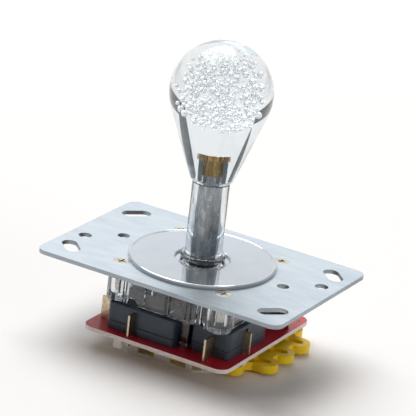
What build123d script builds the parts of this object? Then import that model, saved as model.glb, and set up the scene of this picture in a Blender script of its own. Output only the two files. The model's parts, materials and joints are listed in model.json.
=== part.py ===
from build123d import *
import os
from math import acos, atan, atan2, cos, degrees, hypot, radians, sin, sqrt, tan

# Arcade joystick lever: a clear stick and body on a slotted steel plate.
# Millimetres. The origin is on the plate's top face, on the lever's axis, with +Z towards the knob.

# Gaps shared by the pieces
fit = 0.05
slide_gap = 0.1
running_gap = 0.3

# Plate
plate_length = 100.0
plate_width = 67.0
plate_thickness = 1.6
plate_corner_radius = 4.0
slot_width = 5.6
slot_length = 11.0
slot_inset_x = 8.2
slot_inset_y = 11.1
slot_angle = 45.0
pair_hole_diameter = 4.4
pair_hole_spacing = 66.8
skew_hole_diameter = 4.8
skew_hole_inset = 6.3
skew_hole_offset = 10.0

# Countersunk plate screws
screw_square_width = 42.2
screw_radius = 1.6
screw_head_radius = 3.05
screw_head_angle = 90.0
screw_length = 10.0
recess_length = 3.4
recess_width = 0.8
recess_depth = 0.9

# Lever
pivot_depth = 5.4
tilt_limit = 6.0
ball_radius = 7.4
ball_flat_height = 3.6
ball_base_depth = 4.0
shaft_radius = 4.5
spindle_radius = 3.0
spindle_floor_gap = 0.5
spindle_chamfer = 0.6
stud_radius = 2.9
sleeve_wall = 2.2
bead_radius = 8.3
bead_bottom = 1.4
bead_height = 1.7
bead_edge_radius = 0.75

# Knob and its threaded insert
knob_radius = 18.5
knob_centre_height = 64.2
knob_bottom = 30.8
knob_base_radius = 7.5
knob_edge_radius = 2.2
insert_radius = 3.6
insert_collar = 0.18
insert_collar_height = 2.3
insert_recess = 4.3
insert_length = 8.6
insert_cap = 1.2
knurl_count = 20
knurl_width = 0.5
knurl_depth = 0.25

# Dust disc
disc_radius = 27.0
disc_height = 1.5
disc_sheet = 0.6
disc_edge_radius = 1.2

# Housing
housing_size = 48.4
housing_depth = 12.4
housing_wall = 1.8
housing_cap = 2.0
housing_corner_radius = 2.5
boss_radius = 4.2
hub_radius = 11.0
hub_depth = 11.0
web_thickness = 1.4
rib_width = 1.1
rib_height = 0.8
rib_places = (-18.5, -8.7, 1.5, 8.3, 10.1, 12.6, 14.4, 18.3)
rib_foot_gap = 1.2
notch_width = 2.4
notch_depth = 4.2
notch_place = -11.6
arch_radius = 2.4
arch_place = -13.4
leg_gap = 0.5
leg_length = 9.0
tenon_shoulder = 0.6
tenon_length = 6.0

# Circuit board
board_thickness = 1.6
board_corner_radius = 4.2
board_bore_radius = 12.0
board_side_margin = 0.8
board_front_margin = 1.3
board_hole_diameter = 2.2
board_hole_inset_x = 3.1
board_hole_inset_y = 4.9

# Microswitches, lying on the board, one to each side
switch_length = 27.8
switch_depth = 15.9
switch_height = 10.3
switch_face_distance = 10.3
switch_end_offset = 5.9
switch_corner_radius = 1.6
switch_edge_radius = 0.6
switch_seam = 0.3
switch_wall = 1.4
cover_height = 3.2
plunger_width = 2.8
plunger_height = 2.0
plunger_inside = 3.6
plunger_tip_radius = 0.8
plunger_travel = 0.8

# Switch terminals, their pins and solder
terminal_thickness = 0.8
terminal_height = 8.4
common_reach = 6.1
common_inside = 3.4
common_inset = 6.5
contact_reach = 2.8
contact_inside = 2.6
contact_offset = 11.2
groove_width = 2.0
groove_depth = 0.9
pin_width = 1.5
pin_inset = 0.7
pin_clearance = 0.2
pin_drop = 2.2
solder_ring = 0.4
solder_wall = 0.1
solder_height = 0.85
blade_thickness = 0.25
blade_height = 3.5
blade_end_gap = 0.5

# Cable header at the back of the board
header_depth = 5.8
header_height = 7.0
header_wall = 0.9
header_floor = 2.0
header_end = 2.5
header_switch_gap = 1.0
header_edge_gap = 0.8
header_pin_count = 5
header_pin_pitch = 2.5
header_pin_width = 0.64
header_pin_height = 6.0

# Return spring, its washer, the actuator and the retaining clip
washer_thickness = 0.8
washer_radius = 7.0
spring_radius = 4.75
spring_wire = 0.7
spring_turns = 5.0
actuator_wall = 0.6
actuator_floor = 1.0
actuator_length = 10.7
actuator_rim_gap = 1.4
clip_radius = 4.6
clip_thickness = 0.7
clip_groove_depth = 0.7
clip_mouth = 3.2

# Gate frame under the board
gate_size = 45.2
gate_corner_cut = 9.8
gate_wall = 1.5
gate_floor = 0.75
gate_lip_thickness = 1.0
gate_solder_gap = 0.6
gate_window_width = 7.0
gate_window_spacing = 13.4
gate_mouth_start = 12.0
tongue_width = 3.2
tongue_offset = 14.7
tongue_thickness = 2.0
tongue_drop = 2.4

# Selector dial with its scalloped thumb tab
selector_thickness = 3.2
selector_opening_gap = 0.7
tab_offset = 8.7
tab_neck_width = 16.0
lobe_radius = 4.2
lobe_reach = 5.8
lobe_spacing = 11.9
end_lobe_setback = 8.4
end_lobe_spacing = 21.8
finger_groove_width = 3.2
finger_groove_length = 4.0
finger_groove_depth = 1.2

# Heights, from the plate down
housing_bottom = -plate_thickness - housing_depth
switch_top = housing_bottom - slide_gap
board_top = switch_top - switch_height
board_bottom = board_top - board_thickness
case_bottom = board_top + cover_height
plunger_level = board_top + switch_height / 2
pin_end = board_bottom - pin_drop
gate_top = board_bottom - fit
lip_bottom = gate_top - gate_lip_thickness
selector_top = pin_end - running_gap
selector_bottom = selector_top - selector_thickness
gate_floor_top = selector_bottom - 2 * slide_gap
gate_bottom = gate_floor_top - gate_floor
pivot_height = -plate_thickness - pivot_depth
ball_top = pivot_height + ball_flat_height
hub_bottom = -plate_thickness - hub_depth
washer_bottom = hub_bottom - washer_thickness
actuator_rim = washer_bottom - actuator_rim_gap
actuator_bottom = actuator_rim - actuator_length
spindle_end = gate_bottom + spindle_floor_gap
quarter_turns = (0, 90, 180, 270)

# Radii and reaches of the lever's pieces, tilted to a side or into a corner
side_slope = tan(radians(tilt_limit))
corner_tilt = atan(sqrt(2) * side_slope)
sleeve_inner_radius = shaft_radius + fit
sleeve_outer_radius = sleeve_inner_radius + sleeve_wall
socket_radius = ball_radius + running_gap
actuator_inner_radius = spring_radius + spring_wire / 2 + running_gap
actuator_radius = actuator_inner_radius + actuator_wall


def corner_reach(radius, height):
    """Reach from the axis of a lever edge at this radius and height, tilted into a corner."""
    return radius * cos(corner_tilt) + abs(height - pivot_height) * sin(corner_tilt)


def side_reach(radius, height):
    """Reach from the axis of the lever's side at this radius and height, tilted to a side."""
    return radius / cos(radians(tilt_limit)) + abs(height - pivot_height) * side_slope


plate_bore_radius = corner_reach(sleeve_outer_radius, 0) + running_gap
disc_bore_radius = corner_reach(bead_radius, bead_bottom + bead_height) + running_gap
washer_bore_radius = corner_reach(spindle_radius, washer_bottom) + running_gap
plunger_tip = side_reach(actuator_radius, plunger_level - plunger_height / 2) + slide_gap
plunger_reach = switch_face_distance - plunger_tip
gate_opening = 2 * (side_reach(spindle_radius, gate_bottom) + slide_gap)
selector_opening = 2 * (corner_reach(spindle_radius, selector_bottom) + selector_opening_gap)

# Places of the front switch and its terminals: the other switches are quarter turns of it
switch_left = switch_end_offset - switch_length
switch_outer = -switch_face_distance - switch_depth
switch_centre = (switch_left + switch_length / 2, switch_outer + switch_depth / 2)
common_end = switch_left - common_reach
common_length = common_reach + common_inside
common_centre = (common_end + common_length / 2, switch_outer + common_inset)
common_pin = (common_end + pin_inset + pin_width / 2, switch_outer + common_inset)
contact_end = switch_outer - contact_reach
contact_length = contact_reach + contact_inside
contact_centre = (-contact_offset, contact_end + contact_length / 2)
contact_pin = (-contact_offset, contact_end + pin_inset + pin_width / 2)
groove_centre = (-contact_offset + terminal_thickness / 2 + groove_width / 2, switch_outer)
terminal_slot = terminal_thickness + 2 * fit
pin_reach = hypot(pin_width, terminal_thickness) / 2
pin_hole_radius = pin_reach + pin_clearance
solder_radius = pin_hole_radius + solder_ring

# Board edges, header places and leg places
board_width = 2 * (max(-contact_end, -common_end) + board_side_margin)
board_front = contact_end - board_front_margin
header_front = -switch_outer + header_switch_gap
header_centre_y = header_front + header_depth / 2
board_back = header_front + header_depth + header_edge_gap
board_length = board_back - board_front
board_centre_y = (board_back + board_front) / 2
header_length = (header_pin_count - 1) * header_pin_pitch + 2 * header_end
header_pin_reach = hypot(header_pin_width, header_pin_width) / 2
header_hole_radius = header_pin_reach + pin_clearance
header_row_start = -(header_pin_count - 1) * header_pin_pitch / 2
header_pin_places = [
    (header_row_start + i * header_pin_pitch, header_centre_y) for i in range(header_pin_count)
]
housing_inner_size = housing_size - 2 * housing_wall
leg_thickness = switch_face_distance - switch_end_offset - 2 * leg_gap
leg_centre = (
    (switch_face_distance + switch_end_offset) / 2,
    -(housing_inner_size - leg_length) / 2,
)
tenon_thickness = leg_thickness - 2 * tenon_shoulder

# Plate: punched sheet with a slanted slot in each corner
with BuildPart() as mounting_plate:
    slot_x = plate_length / 2 - slot_inset_x
    slot_y = plate_width / 2 - slot_inset_y
    skew_hole_x = plate_length / 2 - skew_hole_inset
    with BuildSketch(Plane.XY.offset(-plate_thickness)):
        RectangleRounded(plate_length, plate_width, plate_corner_radius)
        Circle(plate_bore_radius, mode=Mode.SUBTRACT)
        with Locations((slot_x, slot_y), (-slot_x, -slot_y)):
            SlotOverall(slot_length, slot_width, rotation=-slot_angle, mode=Mode.SUBTRACT)
        with Locations((slot_x, -slot_y), (-slot_x, slot_y)):
            SlotOverall(slot_length, slot_width, rotation=slot_angle, mode=Mode.SUBTRACT)
        with GridLocations(pair_hole_spacing, 0, 2, 1):
            Circle(pair_hole_diameter / 2, mode=Mode.SUBTRACT)
        with Locations((skew_hole_x, skew_hole_offset), (-skew_hole_x, -skew_hole_offset)):
            Circle(skew_hole_diameter / 2, mode=Mode.SUBTRACT)
    extrude(amount=plate_thickness)
    with GridLocations(screw_square_width, screw_square_width, 2, 2):
        CounterSinkHole(
            screw_radius + fit,
            screw_head_radius + fit,
            counter_sink_angle=screw_head_angle,
        )
mounting_plate.part.label = "mounting_plate"

# Plate screws: countersunk heads with a cross recess
with BuildPart() as plate_screws:
    head_depth = (screw_head_radius - screw_radius) / tan(radians(screw_head_angle / 2))
    hang = (Align.CENTER, Align.CENTER, Align.MAX)
    with GridLocations(screw_square_width, screw_square_width, 2, 2):
        with Locations((0, 0, -fit)):
            Cone(screw_radius, screw_head_radius, head_depth, align=hang)
            Cylinder(screw_radius, screw_length, align=hang)
            Box(recess_length, recess_width, recess_depth, align=hang, mode=Mode.SUBTRACT)
            Box(recess_width, recess_length, recess_depth, align=hang, mode=Mode.SUBTRACT)
plate_screws.part.label = "plate_screws"

# Dust disc: pressed sheet with its edge turned down, standing on the plate
with BuildPart() as dust_disc:
    with BuildSketch(Plane.XZ) as disc_section:
        with BuildLine():
            Polyline(
                (disc_bore_radius, disc_height - disc_sheet),
                (disc_radius - disc_sheet, disc_height - disc_sheet),
                (disc_radius - disc_sheet, 0),
                (disc_radius, 0),
                (disc_radius, disc_height),
                (disc_bore_radius, disc_height),
                close=True,
            )
        make_face()
        disc_rows = disc_section.vertices().group_by(Axis.Y)
        fillet(disc_rows[-1].sort_by(Axis.X)[-1], disc_edge_radius)
        fillet(disc_rows[-2].sort_by(Axis.X)[-1], disc_edge_radius - disc_sheet)
    revolve(axis=Axis.Z)
dust_disc.part.label = "dust_disc"

# Sleeve: clear tube over the shaft, with a round bead at its foot
with BuildPart() as shaft_sleeve:
    bead_top = bead_bottom + bead_height
    with BuildSketch(Plane.XZ) as sleeve_section:
        with BuildLine():
            Polyline(
                (sleeve_inner_radius, ball_top),
                (sleeve_outer_radius, ball_top),
                (sleeve_outer_radius, bead_bottom),
                (bead_radius, bead_bottom),
                (bead_radius, bead_top),
                (sleeve_outer_radius, bead_top),
                (sleeve_outer_radius, knob_bottom),
                (sleeve_inner_radius, knob_bottom),
                close=True,
            )
        make_face()
        fillet(sleeve_section.vertices().group_by(Axis.X)[-1], bead_edge_radius)
    revolve(axis=Axis.Z)
shaft_sleeve.part.label = "shaft_sleeve"

# Knob: clear bat top, a ball drawn down to the sleeve, with a pocket for its insert
insert_bottom = knob_bottom + insert_recess
insert_top = insert_bottom + insert_length
collar_bottom = insert_top - insert_collar_height
collar_radius = insert_radius + insert_collar
with BuildPart() as knob:
    base_drop = knob_bottom - knob_centre_height
    base_distance = hypot(base_drop, knob_base_radius)
    tangent_angle = atan2(base_drop, knob_base_radius) + acos(knob_radius / base_distance)
    upper_angle = (tangent_angle + radians(90)) / 2
    tangent_point, upper_point, crown = [
        (knob_radius * cos(a), knob_centre_height + knob_radius * sin(a))
        for a in (tangent_angle, upper_angle, radians(90))
    ]
    with BuildSketch(Plane.XZ) as knob_section:
        with BuildLine():
            Polyline(crown, (0, knob_bottom), (knob_base_radius, knob_bottom), tangent_point)
            ThreePointArc(tangent_point, upper_point, crown)
        make_face()
        fillet(knob_section.vertices().group_by(Axis.Y)[0].sort_by(Axis.X)[-1], knob_edge_radius)
    revolve(axis=Axis.Z)
    with BuildSketch(Plane.XY.offset(knob_bottom)):
        Circle(insert_radius + fit)
    extrude(amount=collar_bottom - knob_bottom, mode=Mode.SUBTRACT)
    with BuildSketch(Plane.XY.offset(collar_bottom - fit)):
        Circle(collar_radius + fit)
    extrude(amount=insert_collar_height + 2 * fit, mode=Mode.SUBTRACT)
knob.part.label = "knob"

# Insert: brass nut moulded into the knob, with a knurled collar
with BuildPart() as knob_insert:
    with BuildSketch(Plane.XY.offset(insert_bottom)):
        Circle(insert_radius)
    extrude(amount=collar_bottom - insert_bottom)
    with BuildSketch(Plane.XY.offset(collar_bottom)):
        Circle(collar_radius)
        with PolarLocations(collar_radius, knurl_count):
            Rectangle(2 * knurl_depth, knurl_width, mode=Mode.SUBTRACT)
    extrude(amount=insert_collar_height)
    with BuildSketch(Plane.XY.offset(insert_bottom)):
        Circle(stud_radius + fit)
    extrude(amount=insert_length - insert_cap, mode=Mode.SUBTRACT)
knob_insert.part.label = "knob_insert"

# Shaft: plated steel, stepped down to a stud above and a spindle below
clip_top = actuator_bottom - fit
clip_bottom = clip_top - clip_thickness
groove_radius = spindle_radius - clip_groove_depth
with BuildPart() as lever_shaft:
    stud_top = insert_top - insert_cap - slide_gap
    with BuildSketch(Plane.XY.offset(spindle_end)):
        Circle(spindle_radius)
    extrude(amount=ball_top - spindle_end)
    chamfer(lever_shaft.edges().group_by(Axis.Z)[0], spindle_chamfer)
    with BuildSketch(Plane.XY.offset(ball_top)):
        Circle(shaft_radius)
    extrude(amount=knob_bottom - ball_top)
    with BuildSketch(Plane.XY.offset(knob_bottom)):
        Circle(stud_radius)
    extrude(amount=stud_top - knob_bottom)
    with BuildSketch(Plane.XY.offset(clip_bottom - fit)):
        Circle(spindle_radius)
        Circle(groove_radius, mode=Mode.SUBTRACT)
    extrude(amount=clip_thickness + 2 * fit, mode=Mode.SUBTRACT)
lever_shaft.part.label = "lever_shaft"

# Pivot ball: turns in the housing's socket
with BuildPart() as pivot_ball:
    with Locations((0, 0, pivot_height)):
        Sphere(ball_radius)
        Cylinder(spindle_radius + fit, 2 * ball_radius, mode=Mode.SUBTRACT)
    split(bisect_by=Plane.XY.offset(ball_top), keep=Keep.BOTTOM)
    split(bisect_by=Plane.XY.offset(pivot_height - ball_base_depth), keep=Keep.TOP)
pivot_ball.part.label = "pivot_ball"

# Spring washer: seats against the hub's underside
with BuildPart() as spring_washer:
    with BuildSketch(Plane.XY.offset(washer_bottom)):
        Circle(washer_radius)
        Circle(washer_bore_radius, mode=Mode.SUBTRACT)
    extrude(amount=washer_thickness)
spring_washer.part.label = "spring_washer"

# Return spring: round wire coil between the washer and the actuator's floor
with BuildPart() as return_spring:
    spring_low = actuator_bottom + actuator_floor + spring_wire / 2 + fit
    spring_height = washer_bottom - spring_wire / 2 - fit - spring_low
    with BuildLine():
        coil = Helix(spring_height / spring_turns, spring_height, spring_radius, center=(0, 0, spring_low))
    with BuildSketch(Plane(coil @ 0, z_dir=coil % 0)):
        Circle(spring_wire / 2)
    sweep(is_frenet=True)
return_spring.part.label = "return_spring"

# Actuator: cup round the spring that works the switches
with BuildPart() as actuator:
    with BuildSketch(Plane.XY.offset(actuator_bottom)):
        Circle(actuator_radius)
        Circle(spindle_radius + fit, mode=Mode.SUBTRACT)
    extrude(amount=actuator_length)
    with BuildSketch(Plane.XY.offset(actuator_bottom + actuator_floor)):
        Circle(actuator_inner_radius)
    extrude(amount=actuator_length - actuator_floor, mode=Mode.SUBTRACT)
actuator.part.label = "actuator"

# Retaining clip: open ring in the spindle's groove
with BuildPart() as retaining_clip:
    with BuildSketch(Plane.XY.offset(clip_bottom)):
        Circle(clip_radius)
        Circle(groove_radius + fit, mode=Mode.SUBTRACT)
        with Locations((clip_radius / 2, 0)):
            Rectangle(clip_radius, clip_mouth, mode=Mode.SUBTRACT)
    extrude(amount=clip_thickness)
retaining_clip.part.label = "retaining_clip"

# Housing: clear ribbed cap with a ball socket, screw bosses and four legs
with BuildPart() as housing:
    with BuildSketch(Plane.XY.offset(housing_bottom)):
        RectangleRounded(housing_size, housing_size, housing_corner_radius)
        with GridLocations(screw_square_width, screw_square_width, 2, 2):
            Circle(boss_radius)
    extrude(amount=housing_depth)
    with BuildSketch(Plane.XY.offset(housing_bottom)):
        Rectangle(housing_inner_size, housing_inner_size)
        Circle(hub_radius, mode=Mode.SUBTRACT)
        Rectangle(housing_inner_size, web_thickness, mode=Mode.SUBTRACT)
        Rectangle(web_thickness, housing_inner_size, mode=Mode.SUBTRACT)
        with GridLocations(screw_square_width, screw_square_width, 2, 2):
            Circle(boss_radius, mode=Mode.SUBTRACT)
    extrude(amount=housing_depth - housing_cap, mode=Mode.SUBTRACT)
    with BuildSketch(Plane.XY.offset(housing_bottom)):
        Circle(hub_radius)
    extrude(amount=hub_bottom - housing_bottom, mode=Mode.SUBTRACT)
    with BuildSketch(Plane.XY.offset(pivot_height)):
        Circle(socket_radius)
    extrude(amount=pivot_depth, mode=Mode.SUBTRACT)
    with Locations((0, 0, pivot_height)):
        Sphere(socket_radius, mode=Mode.SUBTRACT)
    for turn in quarter_turns:
        side = Plane.XY.rotated((0, 0, turn))
        with BuildSketch(side.offset(housing_bottom + rib_foot_gap)):
            with Locations(*[(x, -(housing_size + rib_height) / 2) for x in rib_places]):
                Rectangle(rib_width, rib_height)
        extrude(amount=housing_depth - rib_foot_gap)
        with BuildSketch(side.offset(-plate_thickness - notch_depth)):
            with Locations((notch_place, -housing_size / 2)):
                Rectangle(notch_width, housing_wall)
        extrude(amount=notch_depth, mode=Mode.SUBTRACT)
        with BuildSketch(Plane.XZ.rotated((0, turn, 0)).offset(housing_inner_size / 2)):
            with Locations((arch_place, housing_bottom)):
                Circle(arch_radius)
        extrude(amount=housing_wall, mode=Mode.SUBTRACT)
        with BuildSketch(side.offset(board_top)):
            with Locations(leg_centre):
                Rectangle(leg_thickness, leg_length)
        extrude(amount=-plate_thickness - housing_cap - board_top)
        with BuildSketch(side.offset(lip_bottom)):
            with Locations(leg_centre):
                Rectangle(tenon_thickness, tenon_length)
        extrude(amount=board_top - lip_bottom)
    with BuildSketch(Plane.XY.offset(-plate_thickness)):
        with GridLocations(screw_square_width, screw_square_width, 2, 2):
            Circle(screw_radius + fit)
    extrude(amount=-screw_length, mode=Mode.SUBTRACT)
housing.part.label = "housing"

# Circuit board: carries the switches, with slots for the housing's legs
with BuildPart() as circuit_board:
    board_hole_x = board_width / 2 - board_hole_inset_x
    board_hole_y = board_back - board_hole_inset_y
    with BuildSketch(Plane.XY.offset(board_bottom)):
        with Locations((0, board_centre_y)):
            RectangleRounded(board_width, board_length, board_corner_radius)
        Circle(board_bore_radius, mode=Mode.SUBTRACT)
        with Locations((board_hole_x, board_hole_y), (-board_hole_x, board_hole_y)):
            Circle(board_hole_diameter / 2, mode=Mode.SUBTRACT)
        with Locations(*header_pin_places):
            Circle(header_hole_radius, mode=Mode.SUBTRACT)
    extrude(amount=board_thickness)
    for turn in quarter_turns:
        with BuildSketch(Plane.XY.rotated((0, 0, turn)).offset(board_bottom)):
            with Locations(common_pin, contact_pin):
                Circle(pin_hole_radius)
            with Locations(leg_centre):
                Rectangle(tenon_thickness + 2 * slide_gap, tenon_length + 2 * slide_gap)
        extrude(amount=board_thickness, mode=Mode.SUBTRACT)
circuit_board.part.label = "circuit_board"

# Microswitches: a case, a cover and a plunger to each side
switch_pieces = []
for side_name, turn in zip(("front", "right", "back", "left"), quarter_turns):
    seat = Plane.XY.rotated((0, 0, turn))
    with BuildPart() as switch_case:
        with BuildSketch(seat.offset(case_bottom)):
            with Locations(switch_centre):
                RectangleRounded(switch_length, switch_depth, switch_corner_radius)
        extrude(amount=switch_top - case_bottom)
        fillet(switch_case.faces().sort_by(Axis.Z)[-1].edges(), switch_edge_radius)
        chamfer(switch_case.faces().sort_by(Axis.Z)[0].edges(), switch_seam)
        with BuildSketch(seat.offset(case_bottom)):
            with Locations(switch_centre):
                Rectangle(switch_length - 2 * switch_wall, switch_depth - 2 * switch_wall)
            with Locations(groove_centre):
                Rectangle(groove_width, 2 * groove_depth)
        extrude(amount=switch_top - case_bottom - switch_wall, mode=Mode.SUBTRACT)
        with BuildSketch(seat.offset(case_bottom)):
            with Locations(common_centre):
                Rectangle(common_length + 2 * fit, terminal_slot)
            with Locations(contact_centre):
                Rectangle(terminal_slot, contact_length + 2 * fit)
        extrude(amount=terminal_height - cover_height + fit, mode=Mode.SUBTRACT)
        with BuildSketch(seat.offset(plunger_level - plunger_height / 2 - slide_gap)):
            with Locations((0, -switch_face_distance)):
                Rectangle(plunger_width + 2 * slide_gap, 2 * switch_wall)
        extrude(amount=plunger_height + 2 * slide_gap, mode=Mode.SUBTRACT)
    with BuildPart() as switch_cover:
        with BuildSketch(seat.offset(board_top)):
            with Locations(switch_centre):
                RectangleRounded(switch_length, switch_depth, switch_corner_radius)
        extrude(amount=cover_height)
        chamfer(switch_cover.faces().sort_by(Axis.Z)[-1].edges(), switch_seam)
        with BuildSketch(seat.offset(board_top)):
            with Locations(groove_centre):
                Rectangle(groove_width, 2 * groove_depth)
            with Locations(common_centre):
                Rectangle(common_length + 2 * fit, terminal_slot)
            with Locations(contact_centre):
                Rectangle(terminal_slot, contact_length + 2 * fit)
        extrude(amount=cover_height, mode=Mode.SUBTRACT)
    with BuildPart() as plunger:
        with BuildSketch(seat.offset(plunger_level - plunger_height / 2)):
            with Locations((0, (plunger_reach - plunger_inside) / 2 - switch_face_distance)):
                Rectangle(plunger_width, plunger_reach + plunger_inside)
        extrude(amount=plunger_height)
        tip_face = plunger.faces().sort_by_distance((0, 0, plunger_level))[0]
        fillet(tip_face.edges().filter_by(Axis.Z), plunger_tip_radius)
    switch_case.part.label = "switch_case_" + side_name
    switch_cover.part.label = "switch_cover_" + side_name
    plunger.part.label = "plunger_" + side_name
    switch_pieces += [switch_case, switch_cover, plunger]

# Common terminals: a blade out of each switch's end, with a pin through the board
with BuildPart() as common_terminals:
    for turn in quarter_turns:
        seat = Plane.XY.rotated((0, 0, turn))
        with BuildSketch(seat.offset(board_top + fit)):
            with Locations(common_centre):
                Rectangle(common_length, terminal_thickness)
        extrude(amount=terminal_height - fit)
        with BuildSketch(seat.offset(pin_end)):
            with Locations(common_pin):
                Rectangle(pin_width, terminal_thickness)
        extrude(amount=board_top + fit - pin_end)
common_terminals.part.label = "common_terminals"

# Contact terminals: a blade out of each switch's outer face, with a pin through the board
with BuildPart() as contact_terminals:
    for turn in quarter_turns:
        seat = Plane.XY.rotated((0, 0, turn))
        with BuildSketch(seat.offset(board_top + fit)):
            with Locations(contact_centre):
                Rectangle(terminal_thickness, contact_length)
        extrude(amount=terminal_height - fit)
        with BuildSketch(seat.offset(pin_end)):
            with Locations(contact_pin):
                Rectangle(terminal_thickness, pin_width)
        extrude(amount=board_top + fit - pin_end)
contact_terminals.part.label = "contact_terminals"

# Spring blades: inside each switch, from the common terminal to behind the plunger
with BuildPart() as switch_blades:
    start_x = switch_left + common_inside
    start_y = common_centre[1] + terminal_thickness / 2 + blade_thickness
    finish_x = plunger_width / 2
    finish_y = -switch_face_distance - plunger_inside - plunger_travel - blade_end_gap
    blade_length = hypot(finish_x - start_x, finish_y - start_y)
    blade_turn = degrees(atan2(finish_y - start_y, finish_x - start_x))
    for turn in quarter_turns:
        with BuildSketch(Plane.XY.rotated((0, 0, turn)).offset(plunger_level - blade_height / 2)):
            with Locations(((start_x + finish_x) / 2, (start_y + finish_y) / 2)):
                Rectangle(blade_length, blade_thickness, rotation=blade_turn)
        extrude(amount=blade_height)
switch_blades.part.label = "switch_blades"

# Cable header: open shroud standing on the board's back edge
with BuildPart() as connector_header:
    with BuildSketch(Plane.XY.offset(board_top)):
        with Locations((0, header_centre_y)):
            Rectangle(header_length, header_depth)
    extrude(amount=header_height)
    with BuildSketch(Plane.XY.offset(board_top + header_floor)):
        with Locations((0, header_centre_y)):
            Rectangle(header_length - 2 * header_wall, header_depth - 2 * header_wall)
    extrude(amount=header_height - header_floor, mode=Mode.SUBTRACT)
    with BuildSketch(Plane.XY.offset(board_top)):
        with Locations(*header_pin_places):
            Rectangle(header_pin_width + 2 * fit, header_pin_width + 2 * fit)
    extrude(amount=header_floor, mode=Mode.SUBTRACT)
connector_header.part.label = "connector_header"

# Header pins
with BuildPart() as header_pins:
    with BuildSketch(Plane.XY.offset(pin_end)):
        with Locations(*header_pin_places):
            Rectangle(header_pin_width, header_pin_width)
    extrude(amount=board_top + header_pin_height - pin_end)
header_pins.part.label = "header_pins"

# Solder joints: a cone round each pin under the board
with BuildPart() as solder_joints:
    solder_top = board_bottom - fit
    for turn in quarter_turns:
        with Locations(Plane.XY.rotated((0, 0, turn)).offset(solder_top)):
            with Locations(common_pin, contact_pin):
                Cone(pin_reach + solder_wall, solder_radius, solder_height, align=hang)
            with Locations(common_pin):
                Box(pin_width + 2 * fit, terminal_slot, solder_height, align=hang, mode=Mode.SUBTRACT)
            with Locations(contact_pin):
                Box(terminal_slot, pin_width + 2 * fit, solder_height, align=hang, mode=Mode.SUBTRACT)
    with Locations(Plane.XY.offset(solder_top)):
        with Locations(*header_pin_places):
            header_cut = header_pin_width + 2 * fit
            header_cone = header_hole_radius + solder_ring
            Cone(header_pin_reach + solder_wall, header_cone, solder_height, align=hang)
            Box(header_cut, header_cut, solder_height, align=hang, mode=Mode.SUBTRACT)
solder_joints.part.label = "solder_joints"

# Gate frame: clear open tray under the board, with a square stop for the lever
gate_inner_size = gate_size - 2 * gate_wall
with BuildPart() as gate_frame:
    lip_size = -2 * (common_pin[0] + solder_radius + gate_solder_gap)
    inner_cut = gate_corner_cut - gate_wall * (2 - sqrt(2))
    with BuildSketch(Plane.XY.offset(gate_bottom)) as gate_outline:
        Rectangle(gate_size, gate_size)
        chamfer(gate_outline.vertices(), gate_corner_cut)
    extrude(amount=gate_top - gate_bottom)
    with BuildSketch(Plane.XY.offset(lip_bottom)):
        Rectangle(lip_size, lip_size)
    extrude(amount=gate_lip_thickness)
    tongue_end = board_width / 2 - running_gap
    tongue_length = tongue_end - gate_size / 2
    for turn in quarter_turns:
        with BuildSketch(Plane.XY.rotated((0, 0, turn)).offset(lip_bottom)):
            with Locations((-tongue_offset, tongue_length / 2 - tongue_end)):
                Rectangle(tongue_width, tongue_length)
        extrude(amount=gate_lip_thickness)
    for turn in (0, 270):
        with BuildSketch(Plane.XY.rotated((0, 0, turn)).offset(lip_bottom)):
            with Locations((-tongue_offset, tongue_thickness / 2 - tongue_end)):
                Rectangle(tongue_width, tongue_thickness)
        extrude(amount=-tongue_drop)
    with BuildSketch(Plane.XY.offset(gate_floor_top)) as gate_hollow:
        Rectangle(gate_inner_size, gate_inner_size)
        chamfer(gate_hollow.vertices(), inner_cut)
    extrude(amount=gate_top - gate_floor_top, mode=Mode.SUBTRACT)
    with BuildSketch(Plane.XY.offset(gate_bottom)):
        Rectangle(gate_opening, gate_opening)
    extrude(amount=gate_floor, mode=Mode.SUBTRACT)
    for turn in (0, 180, 270):
        with BuildSketch(Plane.XZ.rotated((0, turn, 0)).offset(gate_inner_size / 2)):
            with Locations((0, (gate_floor_top + lip_bottom) / 2)):
                with GridLocations(gate_window_spacing, 0, 2, 1):
                    Rectangle(gate_window_width, lip_bottom - gate_floor_top)
        extrude(amount=gate_wall, mode=Mode.SUBTRACT)
    with BuildSketch(Plane.XY.offset(gate_floor_top)):
        with Locations((gate_mouth_start + gate_size / 2, 0)):
            Rectangle(gate_size, gate_size)
    extrude(amount=lip_bottom - gate_floor_top, mode=Mode.SUBTRACT)
gate_frame.part.label = "gate_frame"

# Selector: dial in the gate frame, with a scalloped and grooved tab to turn it by
gate_corner = hypot(gate_size / 2, gate_size / 2 - gate_corner_cut)
tab_start = gate_corner + 2 * running_gap
neck_length = tab_start + lobe_radius
lobe_distance = tab_start + lobe_reach
end_lobe_distance = lobe_distance - end_lobe_setback
lobe_places = [
    (end_lobe_distance, tab_offset - end_lobe_spacing),
    (lobe_distance, tab_offset - lobe_spacing),
    (lobe_distance, tab_offset),
    (lobe_distance, tab_offset + lobe_spacing),
    (end_lobe_distance, tab_offset + end_lobe_spacing),
]
with BuildPart() as selector:
    with BuildSketch(Plane.XY.offset(selector_bottom)):
        Polygon((0, tab_offset), *lobe_places, align=None)
        with Locations(*lobe_places):
            Circle(lobe_radius)
        with Locations(*[(x - lobe_reach / 2, y) for x, y in lobe_places[1:-1]]):
            Rectangle(lobe_reach, 2 * lobe_radius)
        Circle(tab_start, mode=Mode.SUBTRACT)
    extrude(amount=selector_thickness)
    with BuildSketch(Plane.XY.offset(selector_bottom)):
        Circle(gate_inner_size / 2 - running_gap)
        with Locations((neck_length / 2, tab_offset / 2)):
            Rectangle(neck_length, tab_neck_width)
        Rectangle(selector_opening, selector_opening, mode=Mode.SUBTRACT)
    extrude(amount=selector_thickness)
    with BuildSketch(Plane.XY.offset(selector_top)):
        with Locations(*[(x - finger_groove_length / 2, y) for x, y in lobe_places[1:]]):
            SlotCenterToCenter(finger_groove_length, finger_groove_width)
    extrude(amount=-finger_groove_depth, mode=Mode.SUBTRACT)
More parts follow.
